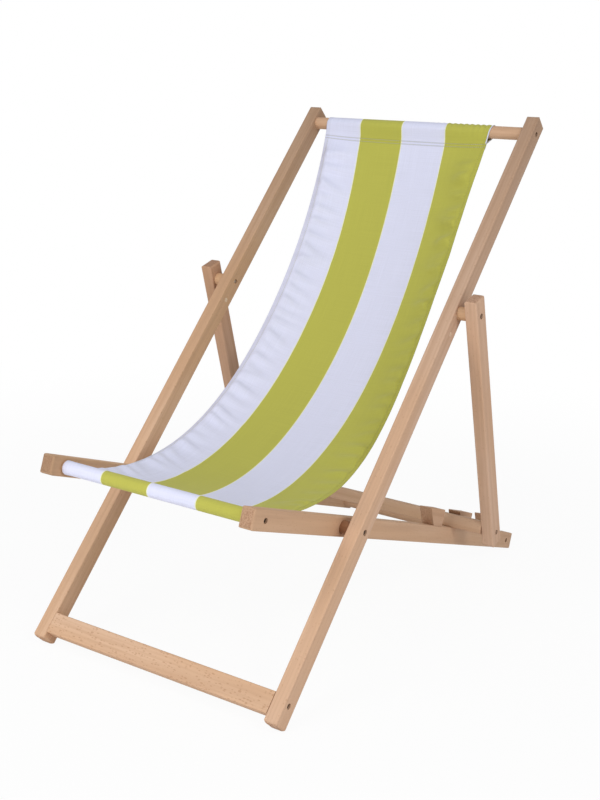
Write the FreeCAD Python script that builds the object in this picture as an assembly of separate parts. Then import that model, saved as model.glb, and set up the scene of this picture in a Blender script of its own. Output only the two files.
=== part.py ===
import FreeCAD, Part
import os
from math import acos, asin, atan2, cos, degrees, hypot, log, pi, radians, sin

from FreeCAD import Placement, Rotation, Vector

# Folding sling deck chair in beech: a long back frame, a seat frame with toothed stops,
# and a prop frame whose flat crossbar drops into the stops.
# Millimetres. +Z is up, the sitter faces -Y and +X is on the sitter's left. The origin is
# on the floor, on the plane of symmetry, under the middle of the seat frame's length.

# ---- timber ----------------------------------------------------------------------------
rail_thick = 26.0            # rails of the back frame and the seat frame, across the chair
prop_thick = 24.5            # rails of the prop frame, across the chair
rail_deep = 35.0             # every rail, seen from the side
rail_arris = 2.5             # rounding of the long edges
rail_end_radius = 9.0        # rounded corners of the rail ends, seen from the side
rail_end_easing = 6.0        # rounded corners of the rail ends, seen square to that
square_end_radius = 3.0      # corners of the prop rails' sawn upper ends
dowel_radius = 12.5          # round crosspieces
front_bar_radius = 11.2      # round bar inside the cloth sleeve
housing_depth = 6.0          # round crosspieces sit this deep in the rails
housing_fit = 0.05
past_face = 1.0              # cutters run this far past the faces that they open

# ---- layers across the chair -----------------------------------------------------------
seat_inner_width = 394.0     # between the seat rails
seat_peg_length = 18.0       # spacer pegs between seat rails and back rails
prop_peg_length = 19.5       # spacer pegs between back rails and prop rails
peg_radius = 12.5
running_gap = 0.2            # between faces that turn on each other

# ---- back frame, measured along its rails from the foot --------------------------------
back_length = 1270.0
main_pivot_at = 353.0
plug_at = 760.5
prop_pivot_at = 807.5
top_dowel_from_top = 34.0
foot_board_at = 13.7
foot_board_deep = 38.4
foot_board_thick = 26.0
foot_screw_at = 38.0
plug_radius = 4.5

# ---- seat frame, measured along its rails from the main pivot --------------------------
seat_ahead = 281.0
seat_behind = 792.0
front_bar_from_end = 35.5    # from the front ends of the rails
rear_dowel_from_end = 32.5   # from the rear ends of the rails

# ---- stop teeth on the seat rails ------------------------------------------------------
tooth_count = 3
first_tooth_at = 335.5       # top front corner of the first tooth
tooth_pitch = 138.0
tooth_top = 66.0
tooth_height = 33.7
tooth_undercut = 27.0        # how far the foot of the front face lies behind its top
tooth_rounding = 1.6         # upper front and rear edges

# ---- prop frame, measured along its rails from the prop pivot --------------------------
prop_above = 34.5
crossbar_at = 475.5
prop_tail = 36.5             # rail below the crossbar's centre
crossbar_ahead = 4.0         # in front of the rails' centre line
crossbar_deep = 35.0
crossbar_thick = 26.0
crossbar_screw_drop = 6.0    # below the crossbar's centre
rest_tooth_number = 2        # the crossbar leans on this tooth, counted from the front
rest_gap = 0.2               # crossbar to rail top, and crossbar to tooth

# ---- metal -----------------------------------------------------------------------------
bolt_radius = 3.0
bolt_head_radius = 5.5
bolt_head_depth = 2.0
bolt_sunk = 3.0              # heads lie this far below the wood
bolt_fit = 0.05              # round the bolts, and round everything that turns on them
nut_radius = 4.6
nut_length = 14.0
nut_grip = 10.0              # length of bolt inside the nut
screw_radius = 2.2
screw_head_radius = 5.0
screw_head_depth = 1.8
screw_sunk = 3.5
screw_length = 52.0
screw_fit = 0.04

# ---- sling -----------------------------------------------------------------------------
cloth_side_gap = 3.5         # between the cloth's edges and the seat rails
cloth_thick = 1.2
cloth_gap = 0.3              # sleeve round its bar
cloth_waist = 16.8           # each free edge comes in by this much at the narrowest place
cloth_waist_at = 0.70        # that place, as a share of the way from the front bar to the dowel
cloth_top_shift = 17.8       # the upper sleeve sits this far to the sitter's right
cloth_curl = 3.4             # the flat middle curls up to the free edges by this power
cloth_columns = (-1.0, -0.8, -0.55, 0.55, 0.8, 1.0)   # lines along the cloth, across its width
cloth_arcs = 6               # each line is drawn as this many arcs

# The line of the hanging cloth, first down its middle, then along its free edges: angles
# below the line between the two bars, and how long the cloth keeps each direction, as a
# share of the distance between the bars.
cloth_front_drop = (63.1, 52.2)
cloth_top_drop = (41.6, 26.2)
cloth_front_pull = (0.351, 0.424)
cloth_top_pull = (0.418, 0.398)

# ---- derived places across the chair ---------------------------------------------------
seat_in = seat_inner_width / 2
seat_out = seat_in + rail_thick
back_in = seat_out + seat_peg_length
back_out = back_in + rail_thick
prop_in = back_out + prop_peg_length
prop_out = prop_in + prop_thick
half_cloth = seat_in - cloth_side_gap

# ---- derived places along the rails ----------------------------------------------------
half_deep = rail_deep / 2
top_dowel_at = back_length - top_dowel_from_top
front_bar_ahead = seat_ahead - front_bar_from_end
rear_dowel_behind = seat_behind - rear_dowel_from_end
crossbar_screw_at = crossbar_at + crossbar_screw_drop
board_middle = half_deep - foot_board_thick / 2

# ---- closing the triangle of main pivot, prop pivot and crossbar -----------------------
# The crossbar lies on the seat rails with its rear edge under the overhang of a tooth.
tooth_slope = tooth_undercut / tooth_height
crossbar_high = half_deep + rest_gap + crossbar_thick / 2
tooth_line = (first_tooth_at + (rest_tooth_number - 1) * tooth_pitch
              + tooth_slope * (half_deep + tooth_height))
edge_high = crossbar_high + crossbar_thick / 2 - rail_arris
crossbar_behind = (tooth_line - tooth_slope * edge_high - crossbar_deep / 2 + rail_arris
                   - (rail_arris + rest_gap) * hypot(1, tooth_slope))

pivot_gap = prop_pivot_at - main_pivot_at
crossbar_reach = hypot(crossbar_behind, crossbar_high)
prop_reach = hypot(crossbar_at, crossbar_ahead)
opening_angle = (acos((pivot_gap**2 + crossbar_reach**2 - prop_reach**2)
                      / (2 * pivot_gap * crossbar_reach))
                 + atan2(crossbar_high, crossbar_behind))

# Both frames stand on the rounded corners of their rails: the back frame on its feet,
# the seat frame on its rear ends. The line through both corner centres is level.
corner = half_deep - rail_end_radius
seat_corner_behind = seat_behind - rail_end_radius
foot_to_seat_along = (main_pivot_at + seat_corner_behind * cos(opening_angle)
                      - corner * sin(opening_angle) - rail_end_radius)
foot_to_seat_up = (-seat_corner_behind * sin(opening_angle)
                   - corner * cos(opening_angle) + corner)
back_angle = atan2(-foot_to_seat_up, foot_to_seat_along)
seat_angle = back_angle - opening_angle

pivot_height = (rail_end_radius + (main_pivot_at - rail_end_radius) * sin(back_angle)
                + corner * cos(back_angle))
seat_front_reach = ((seat_ahead - rail_end_radius) * cos(seat_angle)
                    - corner * sin(seat_angle) + rail_end_radius)
seat_rear_reach = (seat_corner_behind * cos(seat_angle)
                   - corner * sin(seat_angle) + rail_end_radius)
pivot_back = (seat_front_reach - seat_rear_reach) / 2


def in_frame(pivot, angle, along, up=0.0):
    """The place (y, z) of a point given along and square to a frame's rails."""
    return (pivot[0] + along * cos(angle) - up * sin(angle),
            pivot[1] + along * sin(angle) + up * cos(angle))


main_pivot = (pivot_back, pivot_height)
prop_pivot = in_frame(main_pivot, back_angle, pivot_gap)
crossbar_place = in_frame(main_pivot, seat_angle, crossbar_behind, crossbar_high)
prop_angle = (atan2(crossbar_place[1] - prop_pivot[1], crossbar_place[0] - prop_pivot[0])
              + asin(crossbar_ahead / prop_reach))


def turned(shape, pivot, angle):
    """A shape made round its pivot along +Y, turned about X and set on its pivot."""
    placement = Placement(Vector(0, pivot[0], pivot[1]),
                          Rotation(Vector(1, 0, 0), degrees(angle)))
    return shape.transformed(placement.toMatrix(), True)


def mirrored(shape):
    """The same piece for the other side of the chair."""
    return shape.mirror(Vector(0, 0, 0), Vector(1, 0, 0))


def both(*shapes):
    """One node of separate solids: pieces of one side and their twins."""
    return Part.makeCompound(list(shapes) + [mirrored(shape) for shape in shapes])


def rod(x_from, x_to, radius, along=0.0, up=0.0):
    """A round rod across the chair."""
    return Part.makeCylinder(radius, x_to - x_from, Vector(x_from, along, up),
                             Vector(1, 0, 0))


def drilled(shape, holes):
    """The shape less a list of holes."""
    return shape.cut(holes[0].fuse(holes[1:]) if len(holes) > 1 else holes[0])


def eased_bar(corner, size, radius, axis_length):
    """A bar from its lowest corner, with the four edges along its length rounded."""
    bar = Part.makeBox(size.x, size.y, size.z, corner)
    edges = [edge for edge in bar.Edges if abs(edge.Length - axis_length) < 0.001]
    return bar.makeFillet(radius, edges)


def side_plate(points, radii, x_from, thick):
    """A plate across X with the given side view, each corner rounded by its own radius."""
    face = Part.Face(Part.makePolygon([Vector(x_from, y, z) for y, z in points + points[:1]]))
    plate = face.extrude(Vector(thick, 0, 0))
    for (y, z), radius in zip(points, radii):
        edges = [edge for edge in plate.Edges
                 if edge.BoundBox.XLength > thick / 2
                 and hypot(edge.BoundBox.Center.y - y, edge.BoundBox.Center.z - z) < 0.01]
        if radius > 0:
            plate = plate.makeFillet(radius, edges)
    return plate


def rail(start, end, x_from, thick, start_radius=rail_end_radius):
    """A rail from start to end along +Y, with its inner face at x_from."""
    outline = [(start, -half_deep), (end, -half_deep), (end, half_deep), (start, half_deep)]
    radii = [start_radius, rail_end_radius, rail_end_radius, start_radius]
    bar = eased_bar(Vector(x_from, start, -half_deep),
                    Vector(thick, end - start, rail_deep), rail_arris, end - start)
    eased_ends = eased_bar(Vector(x_from, start, -half_deep),
                           Vector(thick, end - start, rail_deep), rail_end_easing, rail_deep)
    return bar.common(eased_ends).common(side_plate(outline, radii, x_from, thick))


def housing(face, radius, along):
    """The shallow round seat for the end of a crosspiece in an inner side face."""
    return rod(face - past_face, face + housing_depth, radius + housing_fit, along)


# ---- metal pieces ----------------------------------------------------------------------
def headed_pin(head, depth, head_radius, tip, radius, along=0.0, up=0.0):
    """A round shank from tip to head, with a flat head of its own depth; either way round."""
    neck = head - depth if tip < head else head + depth
    disc = rod(min(head, neck), max(head, neck), head_radius, along, up)
    return disc.fuse(rod(min(tip, head), max(tip, head), radius, along, up)).removeSplitter()


def screw(face, along, up=0.0, grow=0.0):
    """A wood screw driven inwards from a side face; grow gives its hole."""
    head = face - screw_sunk
    return headed_pin(head, screw_head_depth, screw_head_radius + grow,
                      head - screw_length - grow, screw_radius + grow, along, up)


def screw_hole(face, along, up=0.0):
    """The counterbored hole for a screw, open to the face."""
    recess = rod(face - screw_sunk, face + past_face, screw_head_radius + screw_fit,
                 along, up)
    return screw(face, along, up, screw_fit).fuse(recess).removeSplitter()


def bolt_tip(inner):
    """Where the end of a pivot bolt lies, inside the nut on the inner face."""
    return inner + bolt_sunk + nut_length - nut_grip


def bolt(outer, inner):
    """A pivot bolt from the outer face towards the inner one."""
    return headed_pin(outer - bolt_sunk, bolt_head_depth, bolt_head_radius,
                      bolt_tip(inner), bolt_radius)


def bolt_hole(outer, inner):
    """The hole of a pivot bolt, counterbored for its head."""
    return headed_pin(outer + past_face, past_face + bolt_sunk + bolt_head_depth,
                      bolt_head_radius + bolt_fit, inner - past_face, bolt_radius + bolt_fit)


def nut(inner):
    """A round sleeve nut let into the inner face, on the end of a pivot bolt."""
    head = inner + bolt_sunk
    bore = rod(bolt_tip(inner) - bolt_fit, head + nut_length + past_face,
               bolt_radius + bolt_fit)
    return rod(head, head + nut_length, nut_radius).cut(bore)


def nut_hole(inner):
    """The blind hole for a sleeve nut, open to the inner face."""
    return rod(inner - past_face, inner + bolt_sunk + nut_length + bolt_fit,
               nut_radius + bolt_fit)


# ---- back frame ------------------------------------------------------------------------
def from_pivot(from_foot):
    """The place along the back rails from the main pivot, given from their feet."""
    return from_foot - main_pivot_at


def back_rail():
    body = rail(from_pivot(0), from_pivot(back_length), back_in, rail_thick)
    prop_holes = bolt_hole(prop_out, back_in).fuse(nut_hole(back_in))
    holes = [
        bolt_hole(back_out, seat_in),
        prop_holes.translated(Vector(0, from_pivot(prop_pivot_at), 0)),
        housing(back_in, dowel_radius, from_pivot(top_dowel_at)),
        rod(back_in - past_face, back_out + past_face, plug_radius, from_pivot(plug_at)),
        screw_hole(back_out, from_pivot(top_dowel_at)),
        screw_hole(back_out, from_pivot(foot_screw_at), board_middle),
    ]
    return drilled(body, holes)


def seat_peg():
    """Peg between seat rail and back rail, on the main pivot bolt."""
    peg = rod(seat_out + running_gap, back_in, peg_radius)
    return peg.cut(rod(seat_out, back_in + past_face, bolt_radius + bolt_fit))


def prop_peg():
    """Peg between back rail and prop rail, on the prop pivot bolt."""
    peg = rod(back_out, prop_in - running_gap, peg_radius)
    return peg.cut(rod(back_out - past_face, prop_in, bolt_radius + bolt_fit))


def top_dowel():
    along = from_pivot(top_dowel_at)
    end = back_in + housing_depth
    hole = screw_hole(back_out, along)
    return drilled(rod(-end, end, dowel_radius, along), [hole, mirrored(hole)])


def foot_board():
    board = eased_bar(Vector(-back_in, from_pivot(foot_board_at), half_deep - foot_board_thick),
                      Vector(2 * back_in, foot_board_deep, foot_board_thick),
                      rail_arris, 2 * back_in)
    hole = screw_hole(back_out, from_pivot(foot_screw_at), board_middle)
    return drilled(board, [hole, mirrored(hole)])


def back_screws():
    return both(screw(back_out, from_pivot(top_dowel_at)),
                screw(back_out, from_pivot(foot_screw_at), board_middle))


def plugs():
    return both(rod(back_in, back_out, plug_radius, from_pivot(plug_at)))


# ---- seat frame ------------------------------------------------------------------------
def seat_rail():
    body = rail(-seat_ahead, seat_behind, seat_in, rail_thick)
    housings = ((-front_bar_ahead, front_bar_radius), (rear_dowel_behind, dowel_radius))
    holes = [bolt_hole(back_out, seat_in), nut_hole(seat_in)]
    for along, radius in housings:
        holes.append(housing(seat_in, radius, along))
        holes.append(screw_hole(seat_out, along))
    return drilled(body, holes)


def stop_teeth():
    """Undercut blocks on top of a seat rail, each with its overhang to the front."""
    blocks = []
    for number in range(tooth_count):
        front = first_tooth_at + number * tooth_pitch
        rear = front + tooth_top
        outline = [(front + tooth_undercut, half_deep), (rear, half_deep),
                   (rear, half_deep + tooth_height), (front, half_deep + tooth_height)]
        radii = [0, 0, tooth_rounding, tooth_rounding]
        blocks.append(side_plate(outline, radii, seat_in, rail_thick))
    return Part.makeCompound(blocks)


def seat_crosspiece(along, radius):
    end = seat_in + housing_depth
    hole = screw_hole(seat_out, along)
    return drilled(rod(-end, end, radius, along), [hole, mirrored(hole)])


def seat_screws():
    return both(screw(seat_out, -front_bar_ahead), screw(seat_out, rear_dowel_behind))


# ---- prop frame ------------------------------------------------------------------------
def prop_rail():
    body = rail(-prop_above, crossbar_at + prop_tail, prop_in, prop_thick, square_end_radius)
    return drilled(body, [bolt_hole(prop_out, back_in),
                          screw_hole(prop_out, crossbar_screw_at)])


def crossbar():
    """The flat bar that lies on the seat rails, square to them, in the prop's own frame."""
    bar = eased_bar(Vector(-prop_in, -crossbar_deep / 2, -crossbar_thick / 2),
                    Vector(2 * prop_in, crossbar_deep, crossbar_thick), rail_arris, 2 * prop_in)
    bar = turned(bar, (crossbar_at, -crossbar_ahead), seat_angle - prop_angle)
    hole = screw_hole(prop_out, crossbar_screw_at)
    return drilled(bar, [hole, mirrored(hole)])


def prop_screws():
    return both(screw(prop_out, crossbar_screw_at))


# ---- sling -----------------------------------------------------------------------------
def hanging_line(front, top, line):
    """The four poles of the cloth's cubic line from the front bar to the top dowel."""
    chord = hypot(top[0] - front[0], top[1] - front[1])
    chord_angle = atan2(top[1] - front[1], top[0] - front[0])
    ends = ((front, front_bar_radius, chord_angle - radians(cloth_front_drop[line]),
             cloth_front_pull[line]),
            (top, dowel_radius, chord_angle + radians(180 + cloth_top_drop[line]),
             cloth_top_pull[line]))
    poles = []
    for place, radius, angle, pull in ends:
        seam = radius + cloth_gap + cloth_thick / 2
        poles += [Vector(0, *in_frame(place, angle, seam)),
                  Vector(0, *in_frame(place, angle, seam + pull * chord))]
    return [poles[0], poles[1], poles[3], poles[2]]


def on_line(poles, share):
    """The point of a cubic line at a share of its run, and the way it goes there."""
    rest = 1 - share
    weights = (rest**3, 3 * rest**2 * share, 3 * rest * share**2, share**3)
    slopes = (rest**2, 2 * rest * share, share**2)
    point, way = Vector(), Vector()
    for weight, pole in zip(weights, poles):
        point += pole * weight
    for slope, pole, following in zip(slopes, poles, poles[1:]):
        way += (following - pole) * slope
    return point, way


def cloth_column(lines, side):
    """Points down the cloth's two faces, at a share of its half width."""
    curl = abs(side) ** cloth_curl
    steepness = cloth_curl * abs(side) ** (cloth_curl - 1) * (1 if side > 0 else -1)
    over, under = [], []
    for number in range(2 * cloth_arcs + 1):
        share = number / (2 * cloth_arcs)
        (middle, middle_way), (edge, edge_way) = [on_line(poles, share) for poles in lines]
        narrowed = cloth_waist * sin(pi * share ** (log(0.5) / log(cloth_waist_at))) ** 2
        reach = half_cloth - narrowed
        point = middle + (edge - middle) * curl
        point.x = side * reach - cloth_top_shift * share**1.5
        across = (edge - middle) * steepness + Vector(reach, 0, 0)
        normal = across.cross(middle_way + (edge_way - middle_way) * curl)
        normal.normalize()
        over.append(point + normal * (cloth_thick / 2))
        under.append(point - normal * (cloth_thick / 2))
    return over, under


def run_of_arcs(points):
    """Arcs through every three points, each starting where the last one ends."""
    return [Part.Arc(*points[number:number + 3]).toShape()
            for number in range(0, len(points) - 2, 2)]


def hanging_sheet(lines):
    """The cloth between its sleeves, ruled from column to column and closed all round."""
    columns = [cloth_column(lines, side) for side in cloth_columns]
    # Once round the cloth: down the upper face's columns, then back along the lower face's.
    loop = [over for over, under in columns] + [under for over, under in reversed(columns)]
    runs = [run_of_arcs(points) for points in loop]
    faces = []
    for run, following in zip(runs, runs[1:] + runs[:1]):
        faces += [Part.makeRuledSurface(*arcs) for arcs in zip(run, following)]
    for end in (0, -1):
        for (over, under), (next_over, next_under) in zip(columns, columns[1:]):
            faces.append(Part.makeRuledSurface(
                Part.LineSegment(over[end], next_over[end]).toShape(),
                Part.LineSegment(under[end], next_under[end]).toShape()))
    shell = Part.Shell(faces)
    shell.sewShape()
    return Part.makeSolid(shell)


def sling():
    """The hanging cloth with a sleeve round the front bar and one round the top dowel."""
    front = in_frame(main_pivot, seat_angle, -front_bar_ahead)
    top = in_frame(main_pivot, back_angle, from_pivot(top_dowel_at))
    sheet = hanging_sheet([hanging_line(front, top, line) for line in (0, 1)])
    sleeves = []
    for place, radius, shift in ((front, front_bar_radius, 0),
                                 (top, dowel_radius, -cloth_top_shift)):
        bore = radius + cloth_gap
        sleeve = rod(shift - half_cloth, shift + half_cloth, bore + cloth_thick, *place)
        hole = rod(shift - half_cloth - past_face, shift + half_cloth + past_face, bore, *place)
        sleeves.append(sleeve.cut(hole))
    return sheet.fuse(sleeves)


# ---- the whole chair -------------------------------------------------------------------
def pair(name, shape):
    """The named piece on the +X side and its twin on the -X side."""
    return {name + "_left": shape, name + "_right": mirrored(shape)}


def whole_chair():
    at_prop = Vector(0, from_pivot(prop_pivot_at), 0)
    back = {
        **pair("back_rail", back_rail()),
        "seat_pivot_pegs": both(seat_peg()),
        "prop_pivot_pegs": both(prop_peg().translated(at_prop)),
        "seat_pivot_bolts": both(bolt(back_out, seat_in)),
        "seat_pivot_nuts": both(nut(seat_in)),
        "prop_pivot_bolts": both(bolt(prop_out, back_in).translated(at_prop)),
        "prop_pivot_nuts": both(nut(back_in).translated(at_prop)),
        "top_dowel": top_dowel(),
        "foot_board": foot_board(),
        "back_frame_screws": back_screws(),
        "back_rail_plugs": plugs(),
    }
    seat = {
        **pair("seat_rail", seat_rail()),
        **pair("stop_teeth", stop_teeth()),
        "front_bar": seat_crosspiece(-front_bar_ahead, front_bar_radius),
        "rear_dowel": seat_crosspiece(rear_dowel_behind, dowel_radius),
        "seat_frame_screws": seat_screws(),
    }
    prop = {
        **pair("prop_rail", prop_rail()),
        "prop_crossbar": crossbar(),
        "prop_frame_screws": prop_screws(),
    }
    chair = {"sling": sling()}
    for pieces, pivot, angle in ((back, main_pivot, back_angle),
                                 (seat, main_pivot, seat_angle),
                                 (prop, prop_pivot, prop_angle)):
        for name, shape in pieces.items():
            chair[name] = turned(shape, pivot, angle)
    return chair


os.makedirs("parts", exist_ok=True)
for node, piece in whole_chair().items():
    piece.exportStep("parts/" + node + ".step")

print("main pivot  y %.3f  z %.3f" % main_pivot)
print("prop pivot  y %.3f  z %.3f" % prop_pivot)
print("crossbar    y %.3f  z %.3f" % crossbar_place)
print("angles  back %.3f  seat %.3f  prop %.3f" % tuple(
    degrees(angle) for angle in (back_angle, seat_angle, prop_angle)))
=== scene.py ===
from math import acos, atan2, cos, pi, radians, sin

import bpy
import numpy as np
from mathutils import Euler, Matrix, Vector


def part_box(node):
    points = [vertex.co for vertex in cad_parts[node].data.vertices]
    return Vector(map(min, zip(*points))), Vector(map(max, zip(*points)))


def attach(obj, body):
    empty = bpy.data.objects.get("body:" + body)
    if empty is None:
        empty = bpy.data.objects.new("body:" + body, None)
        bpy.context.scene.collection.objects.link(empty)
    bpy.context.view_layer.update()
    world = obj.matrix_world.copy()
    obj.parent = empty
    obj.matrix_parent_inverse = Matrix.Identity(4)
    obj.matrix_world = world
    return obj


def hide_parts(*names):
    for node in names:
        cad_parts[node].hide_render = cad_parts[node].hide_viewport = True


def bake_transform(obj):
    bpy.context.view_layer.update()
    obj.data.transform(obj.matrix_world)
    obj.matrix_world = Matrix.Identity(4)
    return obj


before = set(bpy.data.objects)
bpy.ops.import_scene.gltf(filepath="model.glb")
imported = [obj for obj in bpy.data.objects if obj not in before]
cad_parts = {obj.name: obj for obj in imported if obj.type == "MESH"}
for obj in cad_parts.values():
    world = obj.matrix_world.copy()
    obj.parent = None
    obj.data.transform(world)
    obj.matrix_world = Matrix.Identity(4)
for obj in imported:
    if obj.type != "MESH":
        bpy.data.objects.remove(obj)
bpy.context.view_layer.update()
chance = np.random.default_rng(7)


# ---- directions and places -------------------------------------------------------------
def along_rails(angle):
    """The direction of a frame's rails, from their angle above +Y in degrees."""
    return Vector((0, cos(radians(angle)), sin(radians(angle))))


BACK, SEAT, PROP = (along_rails(angle) for angle in (47.434, -18.701, -72.268))
ACROSS = Vector((1, 0, 0))


def middle(node):
    """The middle of a CAD node's box."""
    low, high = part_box(node)
    return (low + high) / 2


def in_scene(name, data):
    """A new object in the scene."""
    thing = bpy.data.objects.new(name, data)
    bpy.context.scene.collection.objects.link(thing)
    return thing


# ---- node trees ------------------------------------------------------------------------
class Tree:
    """A material's or the world's nodes; each call adds one node and gives its output."""

    def __init__(self, owner):
        owner.use_nodes = True
        self.tree = owner.node_tree
        self.tree.nodes.clear()

    def add(self, kind, inputs, output=0, **settings):
        node = self.tree.nodes.new("ShaderNode" + kind)
        for name, value in settings.items():
            setattr(node, name, value)
        for name, value in inputs.items():
            if isinstance(value, bpy.types.NodeSocket):
                self.tree.links.new(value, node.inputs[name])
            else:
                node.inputs[name].default_value = value
        return node.outputs[output]

    def math(self, operation, *values):
        return self.add("Math", dict(enumerate(values)), operation=operation)

    def plus(self, first, second):
        return self.math("ADD", first, second)

    def minus(self, first, second):
        return self.math("SUBTRACT", first, second)

    def times(self, first, second):
        return self.math("MULTIPLY", first, second)

    def dot(self, vector, direction):
        return self.add("VectorMath", {0: vector, 1: direction}, "Value",
                        operation="DOT_PRODUCT")

    def vector(self, x, y, z):
        return self.add("CombineXYZ", {0: x, 1: y, 2: z})

    def stretched(self, values, factors):
        """A vector of three values, each times its factor."""
        return self.vector(*(self.times(v, f) for v, f in zip(values, factors)))

    def noise(self, vector, scale=1.0, detail=2.0, roughness=0.5):
        return self.add("TexNoise", {"Vector": vector, "Scale": scale, "Detail": detail,
                                     "Roughness": roughness})

    def span(self, value, low, high, to_low=0.0, to_high=1.0, smooth=True):
        """The value's place between low and high, as to_low to to_high."""
        return self.add("MapRange", {"Value": value, "From Min": low, "From Max": high,
                                     "To Min": to_low, "To Max": to_high},
                        interpolation_type="SMOOTHSTEP" if smooth else "LINEAR")

    def close(self, value, place, full, gone):
        """1 within the distance full of a place, 0 beyond the distance gone."""
        away = self.math("ABSOLUTE", self.minus(value, place))
        return self.span(away, full, gone, 1.0, 0.0)

    def mix(self, share, first, second, blend="MIX"):
        return self.add("Mix", {0: share, 6: first, 7: second}, 2, data_type="RGBA",
                        blend_type=blend)

    def bump(self, height, distance, strength):
        return self.add("Bump", {"Height": height, "Distance": distance,
                                 "Strength": strength})

    def finish(self, shader, kind="OutputMaterial"):
        node = self.tree.nodes.new("ShaderNode" + kind)
        self.tree.links.new(shader, node.inputs["Surface"])


def linear(red, green, blue):
    """A colour written as 0 to 255 in sRGB, as Blender's linear colour."""
    parts = [c / 255 for c in (red, green, blue)]
    return tuple(p / 12.92 if p <= 0.04045 else ((p + 0.055) / 1.055) ** 2.4
                 for p in parts) + (1.0,)


def tinted(tone, *factors):
    """A tone with each of its channels times a factor."""
    return linear(*(channel * factor for channel, factor in zip(tone, factors)))


# ---- camera and stage ------------------------------------------------------------------
# The photo's camera, fitted to the edges of the frames.
LENS = 53.862                                   # millimetres, on a sensor 36 mm wide
CAMERA_PLACE = (1.20461, -1.89810, 0.98923)
CAMERA_TURN = (75.42736, -1.96912, 33.57657)    # degrees

WORLD_LIGHT = (0.43, 0.437, 0.452, 1.0)
LAMP_AIM = (0, 0, 0.45)
# Place, side of the square in metres, power in watts, colour.
LAMPS = {
    "key": ((2.56, -1.03, 2.46), 0.8, 24.5, (0.98, 0.99, 1.0)),
    "front": ((-0.3, -2.0, 1.8), 1.0, 15, (1.0, 0.99, 0.98)),
    "side": ((2.6, -0.9, 0.6), 1.2, 8.5, (0.96, 0.98, 1.0)),
    "low": ((-0.5, -2.1, 0.4), 0.8, 7.5, (1.0, 0.99, 0.98)),
}
FLOOR_REACH = 30.0
FLOOR_BELOW = 0.0005          # under the feet
SHADOW_ENDS = (0.7, 2.2)      # the floor's shadow fades out between these distances
PLAIN_WHITE = (0.94, 1.0)     # share of plain white in the floor, nearer and further


def make_camera():
    data = bpy.data.cameras.new("camera")
    data.sensor_width = 36
    data.lens = LENS
    data.clip_start = 0.05
    camera = in_scene("camera", data)
    camera.location = CAMERA_PLACE
    camera.rotation_euler = Euler([radians(turn) for turn in CAMERA_TURN])
    bpy.context.scene.camera = camera


def make_lamp(name, place, size, power, colour):
    data = bpy.data.lights.new(name, "AREA")
    data.shape = "RECTANGLE"
    data.size = data.size_y = size
    data.energy = power
    data.color = colour
    lamp = in_scene(name, data)
    lamp.location = place
    aim = Vector(LAMP_AIM) - Vector(place)
    lamp.rotation_euler = aim.to_track_quat("-Z", "Y").to_euler()


def seen_directly(nodes):
    """1 for camera, mirror and see-through rays."""
    path = nodes.tree.nodes.new("ShaderNodeLightPath").outputs
    return nodes.math("MAXIMUM", path["Is Camera Ray"],
                      nodes.math("MAXIMUM", path["Is Glossy Ray"],
                                 path["Is Transmission Ray"]))


def make_world():
    """White where it's seen, plain light everywhere else."""
    world = bpy.data.worlds.new("studio")
    bpy.context.scene.world = world
    nodes = Tree(world)
    plain = nodes.add("Background", {"Color": WORLD_LIGHT, "Strength": 1.0})
    white = nodes.add("Background", {"Color": (1, 1, 1, 1), "Strength": 1.0})
    nodes.finish(nodes.add("MixShader", {0: seen_directly(nodes), 1: plain, 2: white}),
                 "OutputWorld")


def make_floor():
    """White, with a faint shadow near the feet."""
    material = bpy.data.materials.new("floor")
    nodes = Tree(material)
    place = nodes.add("TexCoord", {}, "Object")
    away = nodes.add("VectorMath", {0: place}, "Value", operation="LENGTH")
    share = nodes.times(nodes.span(away, *SHADOW_ENDS, *PLAIN_WHITE), seen_directly(nodes))
    shadowed = nodes.add("BsdfDiffuse", {"Color": (0.86, 0.86, 0.86, 1)})
    white = nodes.add("Emission", {"Color": (1, 1, 1, 1), "Strength": 1.0})
    nodes.finish(nodes.add("MixShader", {0: share, 1: shadowed, 2: white}))

    mesh = bpy.data.meshes.new("floor")
    mesh.from_pydata([(x * FLOOR_REACH, y * FLOOR_REACH, 0)
                      for x, y in ((-1, -1), (1, -1), (1, 1), (-1, 1))], [], [(0, 1, 2, 3)])
    mesh.materials.append(material)
    floor = in_scene("floor", mesh)
    floor.location.z = -FLOOR_BELOW


# ---- wood ------------------------------------------------------------------------------
# Each piece's grain, tone, place in the pattern, turn of its growth layers about the grain
# in degrees, and strength of its ray flecks.
WOODS = {
    "back_rail_left": (BACK, (220, 185, 158), 0.31, 25, 0.5),
    "back_rail_right": (BACK, (217, 180, 149), 1.27, 70, 0.5),
    "top_dowel": (ACROSS, (214, 178, 148), 2.2, 10, 0.6),
    "foot_board": (ACROSS, (220, 184, 154), 3.4, 95, 0.85),
    # Painted shade: the seat pivot pegs sit in the shade between the seat and long rails, so
    # their tone is painted darker than the other pegs'.
    "seat_pivot_pegs": (ACROSS, (150, 106, 76), 4.1, 10, 0.4),
    "prop_pivot_pegs": (ACROSS, (216, 178, 142), 5.3, 10, 0.4),
    "seat_rail_left": (SEAT, (212, 177, 148), 6.6, 15, 0.8),
    "seat_rail_right": (SEAT, (208, 173, 142), 7.2, 60, 0.6),
    "stop_teeth_left": (SEAT, (206, 170, 142), 8.5, 20, 0.6),
    "stop_teeth_right": (SEAT, (206, 170, 142), 9.4, 40, 0.6),
    "front_bar": (ACROSS, (212, 176, 146), 10.1, 10, 0.6),
    "rear_dowel": (ACROSS, (212, 176, 146), 11.2, 10, 0.6),
    "prop_rail_left": (PROP, (215, 180, 154), 12.7, 30, 0.6),
    "prop_rail_right": (PROP, (198, 161, 134), 13.8, 65, 0.6),
    "prop_crossbar": (ACROSS, (210, 176, 148), 14.9, 80, 0.7),
}
PLUG_WOOD = (ACROSS, (250, 230, 206), 15.5, 20, 0.3)
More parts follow.
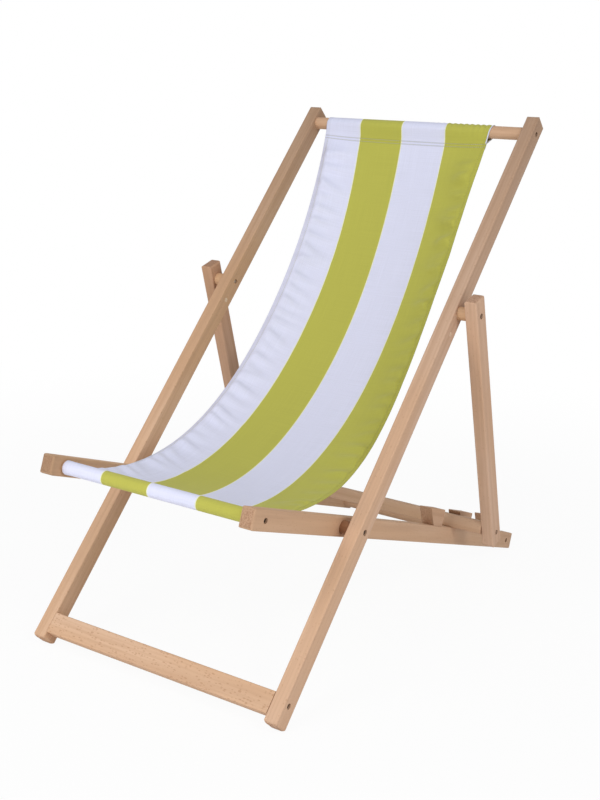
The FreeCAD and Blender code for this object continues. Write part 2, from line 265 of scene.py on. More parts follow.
# The foot board's flecks are closer together. The long rails are darker towards their upper
# ends and the far seat rail at its front tip: painted shade where less light reaches them.
SPECIAL_WOODS = {
    "foot_board": {"density": 0.56},
    "back_rail_left": {"painted_shade": (0.10, 0.95)},
    "back_rail_right": {"painted_shade": (0.10, 0.95)},
    "seat_rail_right": {"painted_shade": (-0.560, -0.625)},
}
PAINTED_SHADE = (212, 211, 210)      # out of 255, what their colour is multiplied by there for the painted shade
# How fine each pattern is along the grain, along the growth rings and through them.
FIBRES = (14.0, 900.0, 900.0)
STREAKS = (3.5, 110.0, 110.0)
PATCHES = (3.0, 16.0, 16.0)
FLECKS = (150.0, 620.0, 70.0)
PORES = 560.0                 # in the sawn ends, in both directions across the grain
# What a piece's tone is multiplied by in its patches, in its streaks, rings and fibres, in
# its flecks, on its sawn ends and in their pores.
WARM, DARK, FLECKED = (0.975, 0.945, 0.90), (0.91, 0.875, 0.84), (0.72, 0.58, 0.46)
SAWN, PORED = (0.89, 0.86, 0.84), (0.68, 0.58, 0.50)


def beech(name, grain, tone, shift, rings, flecks, density=0.36, painted_shade=None):
    """Beech with fibres, growth rings, ray flecks and end grain. painted_shade is where along
    the grain the painted shade starts and where it's darkest."""
    side = Vector((0, 0, 1)) if grain is ACROSS else Vector((1, 0, 0))
    up = grain.cross(side).normalized()
    radial = side * cos(radians(rings)) + up * sin(radians(rings))
    tangent = grain.cross(radial)

    material = bpy.data.materials.new(name)
    nodes = Tree(material)
    spot = nodes.add("TexCoord", {}, "Object")
    place = nodes.add("VectorMath", {0: spot, 1: (shift, shift * 1.7, shift * 2.3)})
    run = nodes.dot(place, grain)
    wander = nodes.noise(nodes.vector(nodes.times(run, 2.2), nodes.dot(place, tangent), shift),
                         1.6)
    depth = nodes.plus(nodes.dot(place, radial), nodes.times(wander, 0.012))
    across = nodes.plus(nodes.dot(place, tangent), nodes.times(wander, 0.004))
    timber = (run, across, depth)

    # Growth rings, about 3 mm apart, with a soft dark late edge.
    ring = nodes.add("TexWave", {"Vector": nodes.vector(depth, 0.0, 0.0), "Scale": 52.0,
                                 "Distortion": 0.0}, 1, bands_direction="X",
                     wave_profile="SAW")
    ring = nodes.span(ring, 0.45, 1.0)
    # Fine long fibres, broader streaks and slow patches of tone.
    fibre = nodes.noise(nodes.stretched(timber, FIBRES), 1.0, 3.0, 0.6)
    streak = nodes.noise(nodes.stretched(timber, STREAKS), 1.0, 2.0)
    patch = nodes.noise(nodes.stretched(timber, PATCHES), 1.0, 1.0)
    # Ray flecks: thin dark lenses, up to 5 mm long.
    cell = nodes.add("TexVoronoi", {"Vector": nodes.stretched(timber, FLECKS),
                                    "Scale": 1.0}, "Distance").node.outputs
    chosen = nodes.span(nodes.add("SeparateColor", {"Color": cell["Color"]}),
                        0.35, 1.0, 0.0, density, smooth=False)
    fleck = nodes.span(nodes.minus(chosen, cell["Distance"]), 0.0, 0.12)

    face = nodes.add("TexCoord", {}, "Normal")
    end = nodes.span(nodes.math("ABSOLUTE", nodes.dot(face, grain)), 0.55, 0.95)
    long_side = nodes.minus(1.0, end)

    dark = tinted(tone, *DARK)
    colour = nodes.mix(nodes.span(patch, 0.3, 0.7), linear(*tone), tinted(tone, *WARM))
    colour = nodes.mix(nodes.times(nodes.span(streak, 0.40, 0.75), 0.62), colour, dark)
    colour = nodes.mix(nodes.times(ring, 0.30), colour, dark)
    colour = nodes.mix(nodes.times(nodes.span(fibre, 0.5, 0.8), 0.35), colour, dark)
    flecked = nodes.times(nodes.times(fleck, long_side), 0.42 * flecks)
    colour = nodes.mix(flecked, colour, tinted(tone, *FLECKED))
    # Sawn ends are darker and mottled by their pores.
    pores = nodes.noise(nodes.vector(nodes.times(across, PORES), nodes.times(depth, PORES),
                                     shift), 1.0, 3.0)
    sawn = nodes.mix(nodes.times(nodes.span(pores, 0.38, 0.66), 0.8),
                     tinted(tone, *SAWN), tinted(tone, *PORED))
    colour = nodes.mix(nodes.times(end, 0.85), colour, sawn)
    # Painted shade: darker along the grain towards one end.
    if painted_shade:
        share = nodes.span(nodes.dot(spot, grain), *painted_shade, smooth=False)
        colour = nodes.mix(share, colour, linear(*PAINTED_SHADE), "MULTIPLY")

    height = nodes.minus(nodes.times(fibre, 0.5), nodes.times(fleck, 0.4))
    nodes.finish(nodes.add("BsdfPrincipled", {
        "Base Color": colour,
        "Roughness": nodes.span(fibre, 0.2, 0.8, 0.60, 0.74),
        "Specular IOR Level": 0.22,
        "Normal": nodes.bump(height, 0.00025, 0.5)}))
    return material


def dress(node, material):
    """Give a CAD node its material."""
    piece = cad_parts[node]
    piece.data.materials.clear()
    piece.data.materials.append(material)


# ---- metal -----------------------------------------------------------------------------
BRIGHT_ZINC = ((186, 183, 172), (216, 213, 202))
# Painted shade: the screws and bolts sit deep in their recesses, so their zinc is painted
# dark; the nuts keep the bright zinc.
PAINTED_SHADE_ZINC = ((54, 53, 51), (84, 82, 78))


def zinc_steel(name, low, high):
    """Zinc in clouds between two tones, with scuffs darker than both."""
    material = bpy.data.materials.new(name)
    nodes = Tree(material)
    place = nodes.add("TexCoord", {}, "Object")
    cloud = nodes.noise(place, 900.0, 3.0)
    scuff = nodes.noise(place, 5200.0, 2.0)
    colour = nodes.mix(cloud, linear(*low), linear(*high))
    colour = nodes.mix(nodes.span(scuff, 0.55, 0.75), colour, tinted(low, 0.75, 0.75, 0.75))
    nodes.finish(nodes.add("BsdfPrincipled", {
        "Base Color": colour,
        "Metallic": 1.0,
        "Roughness": nodes.span(cloud, 0.3, 0.7, 0.30, 0.48),
        "Normal": nodes.bump(scuff, 0.00004, 0.5)}))
    return material


def hexagon(size):
    """A six-sided outline as a radius for each direction."""
    return lambda turn, _: size * cos(pi / 6) / cos(turn % (pi / 3) - pi / 6)


def cross(reach, half_arm):
    """The outline of a cross recess as a radius for each direction."""
    def radius(turn, _):
        c, s = abs(cos(turn)) + 1e-6, abs(sin(turn)) + 1e-6
        return max(min(reach / c, half_arm / s), min(reach / s, half_arm / c))
    return radius


def threaded(start, end, crest, root, pitch):
    """Rings of a helical thread between two depths."""
    def radius(turn, depth):
        phase = (depth / pitch + turn / (2 * pi)) % 1
        return root + (crest - root) * max(0.0, 1 - abs(phase - 0.5) / 0.28)
    return [(depth, radius) for depth in np.arange(start, end, pitch / 5)]


# Rings from the middle of the face to the middle of the tip: depth behind the face, radius.
# Millimetres.
BOLT = [(2.4, 0.01), (2.4, hexagon(2.1)), (0.25, hexagon(2.1)), (0, hexagon(2.5)),
        (0, 4.8), (0.2, 5.25), (0.7, 5.5), (2.0, 5.5), (2.0, 3.0), (44, 3.0),
        *threaded(44.5, 59, 3.0, 2.6, 1.0), (60, 2.4), (60, 0.01)]
WOOD_SCREW = [(1.5, 0.01), (1.5, cross(1.7, 0.5)), (0, cross(2.7, 0.8)), (0, 4.5),
              (0.15, 4.85), (0.5, 5.0), (1.8, 4.9), (1.8, 2.1), (9, 2.0),
              *threaded(9.5, 46, 2.2, 1.45, 2.6), (52, 0.3), (52, 0.01)]
NUT = [(2.6, 0.01), (2.6, hexagon(2.1)), (0.2, hexagon(2.1)), (0, hexagon(2.4)),
       (0, 4.1), (0.15, 4.45), (0.4, 4.6), (14, 4.6), (14, 3.06), (4.1, 3.06), (4.1, 0.01)]
AROUND = 24                   # points in a ring
SHARP = radians(35)           # edges from this angle on stay sharp

# Corners of a node's box, seen from the side: is it the rear one, is it the top one.
LOW_FRONT, HIGH_REAR = (False, False), (True, True)
HIGH_FRONT, LOW_REAR = (False, True), (True, False)
# Body, rings, corners with a pair, radius in metres; then the side that the face looks to,
# outwards or inwards, and how far it lies inside the box.
FASTENERS = {
    "back_frame_screws": ("back_frame", WOOD_SCREW, (LOW_FRONT, HIGH_REAR), 0.005, 1, 0),
    "seat_frame_screws": ("seat_frame", WOOD_SCREW, (HIGH_FRONT, LOW_REAR), 0.005, 1, 0),
    "prop_frame_screws": ("prop_frame", WOOD_SCREW, (LOW_FRONT,), 0.005, 1, 0),
    "seat_pivot_bolts": ("back_frame", BOLT, (LOW_FRONT,), 0.0055, 1, 0),
    "prop_pivot_bolts": ("back_frame", BOLT, (LOW_FRONT,), 0.0055, 1, 0),
    "seat_pivot_nuts": ("back_frame", NUT, (LOW_FRONT,), 0.0046, -1, 0.014),
    "prop_pivot_nuts": ("back_frame", NUT, (LOW_FRONT,), 0.0046, -1, 0.014),
}


def turned_piece(name, rings, places, material):
    """Copies of one turned piece; each place is the middle of its face and the side of the
    chair that the face looks to, +1 or -1."""
    verts, faces = [], []
    for (x, y, z), looks in places:
        base = len(verts)
        for depth, size in rings:
            for k in range(AROUND):
                turn = 2 * pi * k / AROUND
                radius = size(turn, depth) if callable(size) else size
                verts.append((x - looks * depth / 1000, y + radius * cos(turn) / 1000,
                              z + radius * sin(turn) / 1000))
        for ring in range(len(rings) - 1):
            for k in range(AROUND):
                a = base + ring * AROUND + k
                b = base + ring * AROUND + (k + 1) % AROUND
                quad = (a, b, b + AROUND, a + AROUND)
                faces.append(quad if looks > 0 else quad[::-1])
    mesh = bpy.data.meshes.new(name)
    mesh.from_pydata(verts, [], faces)
    mesh.materials.append(material)
    mesh.shade_smooth()
    mesh.set_sharp_from_angle(angle=SHARP)
    return in_scene(name, mesh)


def make_fasteners():
    """Detailed screws, bolts and nuts in the places of the plain ones."""
    bright = zinc_steel("zinc_steel", *BRIGHT_ZINC)
    shaded_zinc = zinc_steel("zinc_steel_painted_shade", *PAINTED_SHADE_ZINC)
    for node, (body, rings, corners, radius, looks, inset) in FASTENERS.items():
        low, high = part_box(node)
        places = []
        for rear, top in corners:
            y = high.y - radius if rear else low.y + radius
            z = high.z - radius if top else low.z + radius
            for side in (1, -1):
                places.append(((side * (high.x - inset), y, z), side * looks))
        # Nuts get the bright zinc, screws and bolts the zinc painted dark as shade.
        piece = turned_piece(node + "_detailed", rings, places,
                             bright if rings is NUT else shaded_zinc)
        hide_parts(node)
        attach(piece, body)


# ---- cloth -----------------------------------------------------------------------------
CLOTH_WIDTH = 0.387
STRIPE_EDGES = (0.215, 0.474, 0.733)      # as shares of the width, from the -X edge
FRAY = 0.0006                 # how far a stripe's edge wanders
STEP = 0.0003                 # half of the way from one stripe's colour to the next
BORDER = (0.0006, 0.0013)     # the light line between two stripes ends between these
FURROW_SHADE = (0.0005, 0.0022)     # and the painted shade in the groove along a row of stitching between these
BARE_EDGE = (0.0032, 0.0027)  # the sleeve isn't printed this far from its +X edge
THREAD = 0.0008               # distance between threads of the weave
HEM = 0.009                   # folded side hems

WHITE = (225, 227, 248)
GREEN = (188, 186, 82)
EDGE_LINE = (238, 238, 206)
PALER = ((224, 226, 236), (214, 216, 160), (228, 228, 208))      # the same, on the back
CORE = (226, 226, 228)


def canvas(name, colours, rows):
    """Woven stripes in two colours with a third on their borders; UV is in metres, across
    the cloth and along it. rows are the places of the stitching along it."""
    white, green, line = (linear(*colour) for colour in colours)
    material = bpy.data.materials.new(name)
    nodes = Tree(material)
    across = nodes.add("SeparateXYZ", {0: nodes.add("TexCoord", {}, "UV")})
    along = across.node.outputs[1]

    fray = nodes.noise(nodes.vector(nodes.times(across, 200.0), nodes.times(along, 1300.0),
                                    0.0))
    edge = nodes.plus(across, nodes.times(nodes.minus(fray, 0.5), FRAY))
    colour = white
    borders = 0.0
    for share, stripe in zip(STRIPE_EDGES, (green, white, green)):
        at = share * CLOTH_WIDTH
        colour = nodes.mix(nodes.span(edge, at - STEP, at + STEP), colour, stripe)
        borders = nodes.math("MAXIMUM", borders, nodes.close(edge, at, *BORDER))
    colour = nodes.mix(borders, colour, line)

    # Plain weave: threads cross over and under.
    warp, weft = (nodes.math("ABSOLUTE", nodes.math("SINE", nodes.times(way, pi / THREAD)))
                  for way in (across, along))
    over = nodes.add("TexChecker", {"Vector": nodes.vector(across, along, 0.0),
                                    "Scale": 1 / THREAD}, 1)
    weave = nodes.add("Mix", {0: over, 2: warp, 3: weft}, 0, data_type="FLOAT")
    # Uneven threads in both directions, and painted shade in the weave's hollows with painted
    # light on its crowns.
    slub = nodes.plus(nodes.noise(nodes.vector(nodes.times(across, 700.0),
                                               nodes.times(along, 9.0), 0.0)),
                      nodes.noise(nodes.vector(nodes.times(across, 9.0),
                                               nodes.times(along, 700.0), 3.0)))
    shade = nodes.times(nodes.span(slub, 0.7, 1.3, 0.955, 1.03, smooth=False),
                        nodes.span(weave, 0.0, 1.0, 0.95, 1.02, smooth=False))
    # Painted shade in the groove along each row of stitching.
    groove_shade = 0.0
    for row in rows:
        groove_shade = nodes.math("MAXIMUM", groove_shade, nodes.close(along, row, *FURROW_SHADE))
    shade = nodes.times(shade, nodes.span(groove_shade, 0.0, 1.0, 1.0, 0.80))
    # Painted shade along the side hems: the cloth within HEM of either edge is darker.
    inwards = nodes.math("MINIMUM", across, nodes.minus(CLOTH_WIDTH, across))
    shade = nodes.times(shade, nodes.span(inwards, HEM - 0.0006, HEM + 0.0006, 0.95, 1.0))
    # The print leaves the last of the upper sleeve bare.
    bare = nodes.times(nodes.span(along, -0.0005, 0.0005, 1.0, 0.0),
                       nodes.span(across, *(CLOTH_WIDTH - edge for edge in BARE_EDGE)))
    colour = nodes.mix(bare, colour, white)
    colour = nodes.mix(1.0, colour, nodes.vector(shade, shade, shade), "MULTIPLY")
    nodes.finish(nodes.add("BsdfPrincipled", {
        "Base Color": colour,
        "Roughness": 0.78,
        "Specular IOR Level": 0.25,
        "Sheen Weight": 0.12,
        "Sheen Roughness": 0.5,
        "Normal": nodes.bump(weave, 0.00012, 0.35)}))
    return material


def twisted_thread(name, dark, light):
    """Sewing thread with bands winding round it: painted shade in the grooves between its
    strands and painted light on the strands.
    """
    material = bpy.data.materials.new(name)
    nodes = Tree(material)
    place = nodes.add("TexCoord", {}, "Object")
    twist = nodes.add("TexWave", {"Vector": place, "Scale": 900.0, "Distortion": 1.0}, 1,
                      bands_direction="DIAGONAL")
    nodes.finish(nodes.add("BsdfPrincipled", {
        "Base Color": nodes.mix(twist, linear(*dark), linear(*light)),
        "Roughness": 0.7,
        "Sheen Weight": 0.2,
        "Normal": nodes.bump(twist, 0.00005, 0.5)}))
    return material


# ---- the sling's line from the side ----------------------------------------------------
CLOTH_THICK = 0.0008
SLEEVE_GAP = 0.0003           # between a bar and its sleeve
SEAM = 0.024                  # the sleeve's layers meet this far from the bar's middle
TAIL = 0.014                  # cloth behind the seam
BAR_RADII = {"top_dowel": 0.0125, "front_bar": 0.0112}
# The hanging cloth, in the middle of its width and at its edges: how far it leaves each bar
# below the line between the two, in degrees, and how long it keeps that direction, as a
# share of the distance between the bars.
FRONT_DROP, TOP_DROP = (63.1, 52.2), (41.6, 26.2)
FRONT_PULL, TOP_PULL = (0.351, 0.424), (0.418, 0.398)
CUP_POWER = 3.4               # the middle is nearly flat, the free edges curl up
# Points along the tail, the sleeve and the hanging cloth, and across the gaps between them.
TAIL_POINTS, SLEEVE_POINTS, BODY_POINTS, JOIN_POINTS = 8, 30, 300, 7
COLUMNS = 105                 # points across the cloth


class Bar:
    """A round bar seen from the side, with the radius of the cloth's middle layer on it."""

    def __init__(self, node):
        centre = middle(node)
        self.centre = np.array([centre.y, centre.z])
        self.radius = BAR_RADII[node] + SLEEVE_GAP + CLOTH_THICK / 2


def unit(angle):
    return np.array([cos(angle), sin(angle)])


def distances(line):
    """How far along a line each of its points lies."""
    return np.concatenate([[0], np.cumsum(np.hypot(*np.diff(line, axis=0).T))])


def resample(line, count):
    """The same line with evenly spaced points."""
    run = distances(line)
    even = np.linspace(0, run[-1], count)
    return np.column_stack([np.interp(even, run, line[:, i]) for i in (0, 1)])


def hanging(front, top, pull_at):
    """The cloth's line between the bars. pull_at is 0 in the middle of its width and 1 at
    its edges."""
    chord = top.centre - front.centre
    length = np.hypot(*chord)
    angle = atan2(chord[1], chord[0])
    share = np.linspace(0, 1, 400)[:, None]
    rest = 1 - share
    lines = []
    for k in (0, 1):
        leave = unit(angle - radians(FRONT_DROP[k]))
        arrive = unit(angle + pi + radians(TOP_DROP[k]))
        start = front.centre + front.radius * leave
        end = top.centre + top.radius * arrive
        lines.append(rest**3 * start
                     + 3 * rest**2 * share * (start + FRONT_PULL[k] * length * leave)
                     + 3 * rest * share**2 * (end + TOP_PULL[k] * length * arrive)
                     + share**3 * end)
    return lines[0] + (lines[1] - lines[0]) * pull_at


def sleeve(bar, seam_point):
    """The cloth's arc round a bar, between its two straight ways to the seam."""
    way = seam_point - bar.centre
    away = atan2(way[1], way[0])
    open_by = acos(bar.radius / np.hypot(*way))
    angles = np.linspace(away + open_by, away + (2 * pi - open_by), 60)
    return bar.centre + bar.radius * np.column_stack([np.cos(angles), np.sin(angles)])


def cloth_column(front, top, pull_at):
    """The whole line of the cloth at one place of its width, from the tail of the top
    sleeve to the tail of the front sleeve, with the row numbers of the two seams."""
    line = hanging(front, top, pull_at)
    from_top = np.hypot(*(line - top.centre).T)
    from_front = np.hypot(*(line - front.centre).T)
    first = int(np.argmax(from_front > SEAM))
    last = len(line) - 1 - int(np.argmax(from_top[::-1] > SEAM))
    body = line[first:last + 1][::-1]
    steps = np.gradient(body, axis=0)
    steps /= np.hypot(*steps.T)[:, None]
    under = np.column_stack([steps[:, 1], -steps[:, 0]])
    sitter = under if under[len(under) // 2, 1] > 0 else -under
    behind = body - sitter * (CLOTH_THICK + 0.0003)
    run = distances(body)
    tail_top = behind[run < TAIL][::-1]
    tail_front = behind[run > run[-1] - TAIL][::-1]

    over_top, over_front = sleeve(top, body[0]), sleeve(front, body[-1])
    # The sheet hangs from the sitter's side of the top dowel and from above the front bar.
    if (over_top[0] - body[0]) @ sitter[0] > 0:
        over_top = over_top[::-1]
    if (over_front[0] - body[-1]) @ sitter[-1] < 0:
        over_front = over_front[::-1]
    lines = []
    for part, count in ((tail_top, TAIL_POINTS), (over_top, SLEEVE_POINTS),
                        (body, BODY_POINTS), (over_front, SLEEVE_POINTS),
                        (tail_front, TAIL_POINTS)):
        if lines:
            lines.append(resample(np.array([lines[-1][-1], part[0]]), JOIN_POINTS))
        lines.append(resample(part, count))
    points = np.concatenate([part[:-1] for part in lines[:-1]] + [lines[-1]])
    seam_top = sum(len(part) - 1 for part in lines[:4])
    seam_front = seam_top + BODY_POINTS - 1
    # The corners at the seams are eased.
    for seam in (seam_top, seam_front):
        for _ in range(3):
            window = slice(seam - 3, seam + 4)
            points[window] = (points[seam - 4:seam + 3] + 2 * points[window]
                              + points[seam - 2:seam + 5]) / 4
    return points, seam_top, seam_front


# ---- the sling's shape across its width ------------------------------------------------
WAIST = 0.0168                # each free edge comes in by this much
WAIST_AT = 0.254              # that place, as a share of the way from the top seam
TOP_SHIFT = -0.0178           # the sleeve sits this far to one side on the top dowel
BAR_SHIFT = 0.005             # the stripes sit this far to the other on the front bar
SLEEVE_WAY = 0.034            # this far from its seam the upper sleeve has moved aside
SLEEVE_ASIDE, END_ASIDE = 0.003, 0.0055      # by this much, and its near end by this more
# How far the near edge comes in, at shares of the way from the top seam to the front one.
NEAR_EDGE_AT = (0, 0.07, 0.15, 0.23, 0.32, 0.40, 0.50, 0.60, 0.68, 0.76, 0.9)
NEAR_EDGE_IN = (0.008, 0.0057, 0.0025, 0.0012, 0.0048, 0.0065, 0.0070, 0.0046, 0.0012,
                -0.0020, 0)
# Small folds along the two hems: side, height, slant, how far in from the edge they're
# highest, width, distance from one to the next.
FOLDS = ((-1, 0.0085, (-0.2, 0.3), 0.024, (0.009, 0.013), (0.024, 0.038)),
         (1, 0.0105, (-0.25, 0.10), 0.028, (0.010, 0.015), (0.026, 0.046)))
FOLD_REACH = (0.026, 0.042)   # how far across the cloth they run
FOLD_SIZES = (0.5, 1.3)       # shares of the height
FIRST_FOLD, LAST_FOLD = 0.02, 0.015          # from the top seam and from the front one
FREE = 0.05                   # this far from a seam the cloth is free to fold
UNEVEN = 0.0006               # height of the slow waves in the whole sheet
HEM_LAYER = 0.0003            # how far a hem's second layer lifts it
# How far the two hems curl back, and how far the cloth beside the far one rises.
FAR_CURL, NEAR_CURL, FAR_RISE = 0.0055, 0.0012, 0.0035
SEAM_GATHERS, DOWEL_GATHERS = 0.00035, 0.0008         # heights
ROWS = (0.002, 0.008)         # stitching, past the seam


def puckers(along, from_edge, length, slants, inset, widths, gaps):
    """Short folds that run inwards from a tight hem, at uneven distances, and flatten out
    towards the front bar."""
    height = np.zeros_like(along)
    at = FIRST_FOLD
    while at < length - LAST_FOLD:
        size = chance.uniform(*FOLD_SIZES) * (1.25 - 0.85 * at / length)
        slant = chance.uniform(*slants)
        width = chance.uniform(*widths)
        reach = chance.uniform(*FOLD_REACH)
        place = along - at - slant * from_edge
        height += size * np.exp(-(place / width) ** 2 - ((from_edge - inset) / reach) ** 2)
        at += chance.uniform(*gaps)
    return height


class Cloth:
    """The sling's middle layer: points in rows along the cloth and columns across it. shares
    are the columns' places, -1 to 1; run is each point's distance along the cloth from the
    top seam; length is the way from seam to seam."""

    def __init__(self):
        top, front = Bar("top_dowel"), Bar("front_bar")
        self.shares = np.sin(np.linspace(-1.2, 1.2, COLUMNS)) / np.sin(1.2)
        columns = [cloth_column(front, top, abs(s) ** CUP_POWER) for s in self.shares]
        self.seam_top, seam_front = columns[0][1:]
        side_view = np.stack([c[0] for c in columns], axis=1)
        self.rows = side_view.shape[0]

        steps = np.hypot(*np.moveaxis(np.diff(side_view, axis=0), -1, 0))
        run = np.concatenate([np.zeros((1, COLUMNS)), np.cumsum(steps, axis=0)])
        run -= run[self.seam_top]
        to_front = run[seam_front]
        self.length = to_front.mean()
        share = np.clip(run / to_front, 0, 1)         # 0 at the top seam, 1 at the front one
        # Every column has its seams at the same distances.
        self.run = (np.minimum(run, 0) + share * self.length
                    + np.maximum(run - to_front, 0))

        self.points = np.dstack([self.across(share), side_view])
        self.normal = np.cross(np.gradient(self.points, axis=0),
                               np.gradient(self.points, self.shares, axis=1))
        self.normal /= np.linalg.norm(self.normal, axis=2, keepdims=True)
        if self.normal[self.rows // 2, COLUMNS // 2, 2] < 0:
            self.normal = -self.normal
        self.points += self.normal * self.relief()[..., None]

    def across(self, share):
        """Where each point lies from side to side."""
        shares, run = self.shares, self.run
        waist = (((1 - share) / (1 - WAIST_AT)) ** 3.7
                 * (share / WAIST_AT) ** 1.27).clip(0) * WAIST
        shift = TOP_SHIFT * (1 - share) ** 1.5
        x = shift + shares * CLOTH_WIDTH / 2 - np.sign(shares) * np.abs(shares) ** 1.75 * waist
        # The upper sleeve lies a little further to the near side than its seam does, and its
        # near end slants in from the dowel to the seam.
        from_seam = np.minimum(-run, run - run[TAIL_POINTS - 1]) / SLEEVE_WAY
        edge_in = np.interp(share, NEAR_EDGE_AT, NEAR_EDGE_IN)
        near = np.clip((shares - 0.5) / 0.5, 0, 1) ** 2
        x += from_seam.clip(0, 1) * (SLEEVE_ASIDE + END_ASIDE * near) - edge_in * near
        x += BAR_SHIFT * np.clip((share - 0.8) / 0.2, 0, 1) ** 2 * (1 - shares ** 4)
        return x

    def relief(self):
        """How far each point is lifted towards the sitter by folds, hems and gathers."""
        shares, run, length = self.shares, self.run, self.length
        relief = np.zeros_like(run)
        from_edge = (1 - np.abs(shares)) * CLOTH_WIDTH / 2 + np.zeros_like(run)
        free = np.clip(np.minimum(run, length - run) / FREE, 0, 1)
        for side, height, *folds in FOLDS:
            half = shares * side > 0
            relief[:, half] += height * puckers(run[:, half], from_edge[:, half], length,
                                                *folds)
        relief *= free ** 2 * np.clip((from_edge - 0.002) / 0.012, 0, 1)
        # The whole sheet is slightly uneven.
        waves = np.sin(run * 11 + 3 * shares) * np.sin(shares * 4 + run * 5)
        relief += UNEVEN * waves * free
        # The hems are two layers thick. They curl back, the far one more than the near one,
        # and the cloth beside the far one rises.
        far = shares < 0
        relief += HEM_LAYER * np.clip((HEM - from_edge) / 0.001, 0, 1)
        curl = np.clip((HEM + 0.002 - from_edge) / HEM, 0, 1) * free
        relief -= np.where(far, FAR_CURL, NEAR_CURL) * curl ** 1.2
        beside = np.exp(-((from_edge - 0.01) / 0.016) ** 2) * free
        relief += np.where(far, FAR_RISE, 0) * beside
        # Small gathers along the rows of stitching and over the top dowel.
        for centre in (0.005, length - 0.005):
            near = np.exp(-((run - centre) / 0.007) ** 2)
            ripple = np.sin(shares * 118) + 0.6 * np.sin(shares * 181 + 1)
            relief += SEAM_GATHERS * near * ripple
        over = np.exp(-((run + 0.045) / 0.03) ** 2) * np.clip(shares - 0.2, 0, 0.3) / 0.3
        relief += DOWEL_GATHERS * over * np.sin(shares * 95)
        return relief

    def stitching_rows(self):
        """Distances along the cloth of the rows of stitching at both seams."""
        return [*ROWS, *(self.length - row for row in ROWS)]

    def at(self, row_at, share):
        """Place and normal at a distance along the cloth and a share of its half width."""
        column = np.interp(share, self.shares, np.arange(COLUMNS))
        low = int(min(column, COLUMNS - 2))
        part = column - low
        found = []
        for field in (self.points, self.normal):
            ends = [[np.interp(row_at, self.run[:, c], field[:, c, i]) for i in range(3)]
                    for c in (low, low + 1)]
            found.append(np.array(ends[0]) * (1 - part) + np.array(ends[1]) * part)
        return found


# ---- the sling's pieces ----------------------------------------------------------------
def make_sling(cloth):
    """The cloth with its thickness, and a material for each of its faces and cut edges."""
    mesh = bpy.data.meshes.new("sling_cloth")
    grid = np.arange(cloth.rows * COLUMNS).reshape(cloth.rows, COLUMNS)
    quads = np.stack([grid[:-1, :-1], grid[1:, :-1], grid[1:, 1:], grid[:-1, 1:]],
                     axis=-1).reshape(-1, 4)
    mesh.from_pydata(cloth.points.reshape(-1, 3).tolist(), [], quads.tolist())
    uv = mesh.uv_layers.new(name="cloth")
    from_side = (cloth.shares + 1) / 2 * CLOTH_WIDTH + np.zeros_like(cloth.run)
    flat = np.dstack([from_side, cloth.run]).reshape(-1, 2)
    index = np.zeros(len(mesh.loops), np.int32)
    mesh.loops.foreach_get("vertex_index", index)
    uv.data.foreach_set("uv", flat[index].ravel())
    mesh.polygons.foreach_set("use_smooth", [True] * len(mesh.polygons))
    # Front, back and cut edge, once for the upper sleeve, whose cut edges show the white
    # core, and before that once for all the rest, whose edges are hems.
    seams = cloth.stitching_rows()
    shown = canvas("canvas_front", (WHITE, GREEN, EDGE_LINE), seams)
    paler = canvas("canvas_back", PALER, seams)
    core = canvas("canvas_core", (CORE, CORE, CORE), ())
    for material in (shown, paler, shown, paler, core):
        mesh.materials.append(material)
    below_seam = np.arange(len(quads)) // (COLUMNS - 1) >= cloth.seam_top
    mesh.polygons.foreach_set("material_index", np.where(below_seam, 0, 2).tolist())
    piece = in_scene("sling_cloth", mesh)
    mesh.update()
    # Faces look towards the sitter where the cloth hangs.
    face = mesh.polygons[(cloth.rows // 2) * (COLUMNS - 1) + COLUMNS // 2]
    if face.normal.z < 0:
        mesh.flip_normals()
    thick = piece.modifiers.new("thickness", "SOLIDIFY")
    thick.thickness = CLOTH_THICK
    thick.offset = 0
    thick.material_offset = 1
    thick.material_offset_rim = 2
    return piece


STITCH_RADIUS = 0.00038
# Rings of a stitch: share of its length, of STITCH_LIFT and of STITCH_RADIUS.
STITCH_RINGS = ((0.0, -0.3, 0.55), (0.25, 0.55, 1.0), (0.75, 0.55, 1.0), (1.0, -0.3, 0.55))
STITCH_LIFT = 0.0003
STITCH_SIDES = 6
SEAM_PITCH, SEAM_STITCH = 0.0052, 0.0042
HEM_PITCH, HEM_STITCH = 0.0044, 0.0035
HEM_ROW = HEM - 0.0015        # from the edge
SEAM_STITCHING = (-0.985, 0.98)       # from one edge to the other, in half widths
HEM_STITCHING = (0.012, 0.014)        # how far from the two seams it starts and ends


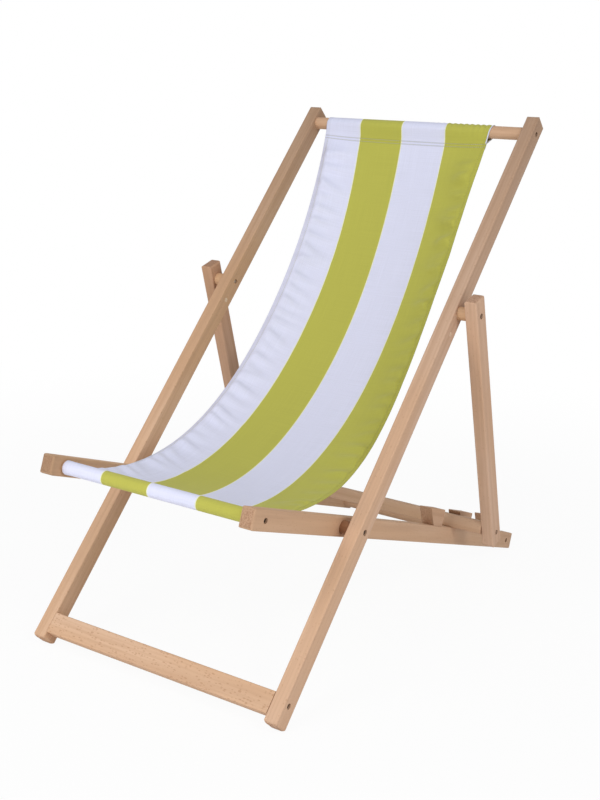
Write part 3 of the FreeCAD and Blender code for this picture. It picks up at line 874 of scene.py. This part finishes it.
def make_stitches(cloth):
    """Separate thread stitches on both faces, along the seams and the side hems."""
    verts, faces, tints = [], [], []

    def stitch(start, end, up, tint=0):
        ahead = end - start
        side = np.cross(ahead, up)
        side /= np.linalg.norm(side)
        base, sides = len(verts), range(STITCH_SIDES)
        for share, lift, size in STITCH_RINGS:
            centre = start + ahead * share + up * STITCH_LIFT * lift
            for k in sides:
                a = 2 * pi * k / STITCH_SIDES
                verts.append(centre + STITCH_RADIUS * size * (side * cos(a) + up * sin(a)))
        last = base + (len(STITCH_RINGS) - 1) * STITCH_SIDES
        for ring in range(base, last, STITCH_SIDES):
            for k in sides:
                a, b = ring + k, ring + (k + 1) % STITCH_SIDES
                faces.append((a, b, b + STITCH_SIDES, a + STITCH_SIDES))
        faces.append(tuple(base + k for k in reversed(sides)))
        faces.append(tuple(last + k for k in sides))
        tints.extend([tint] * (len(faces) - len(tints)))

    half, half_width = CLOTH_THICK / 2 + 0.0001, CLOTH_WIDTH / 2
    after, before = HEM_STITCHING
    for row in cloth.stitching_rows():
        marks = np.arange(*SEAM_STITCHING, SEAM_PITCH / half_width)
        for a, b in zip(marks, marks + SEAM_STITCH / half_width):
            (p, n), (q, _) = cloth.at(row, a), cloth.at(row, b)
            stitch(p + n * half, q + n * half, n)
            under = -n * (half + CLOTH_THICK + 0.0005)
            stitch(p + under, q + under, -n)
    for side, tint in ((-1, 0), (1, 1)):
        share = side * (1 - HEM_ROW / half_width)
        for a in np.arange(after, cloth.length - before, HEM_PITCH):
            (p, n), (q, _) = cloth.at(a, share), cloth.at(a + HEM_STITCH, share)
            stitch(p + n * half, q + n * half, n, tint)
            stitch(p - n * half, q - n * half, -n)
    mesh = bpy.data.meshes.new("sling_stitching")
    mesh.from_pydata([tuple(v) for v in verts], [], faces)
    mesh.polygons.foreach_set("use_smooth", [True] * len(mesh.polygons))
    mesh.materials.append(twisted_thread("thread", (186, 186, 168), (214, 214, 202)))
    mesh.materials.append(twisted_thread("green_thread", (160, 160, 72), (186, 186, 92)))
    mesh.polygons.foreach_set("material_index", tints)
    return in_scene("sling_stitching", mesh)


# ---- the scene -------------------------------------------------------------------------
bpy.context.scene.view_settings.view_transform = "Standard"
make_camera()
make_world()
make_floor()
for name, (place, size, power, colour) in LAMPS.items():
    make_lamp(name, place, size, power, colour)

for node, looks in WOODS.items():
    dress(node, beech(node, *looks, **SPECIAL_WOODS.get(node, {})))
dress("back_rail_plugs", beech("plugs", *PLUG_WOOD))
make_fasteners()

cloth = Cloth()
sling, stitching = make_sling(cloth), make_stitches(cloth)
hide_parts("sling")
for piece in (sling, stitching):
    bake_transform(piece)
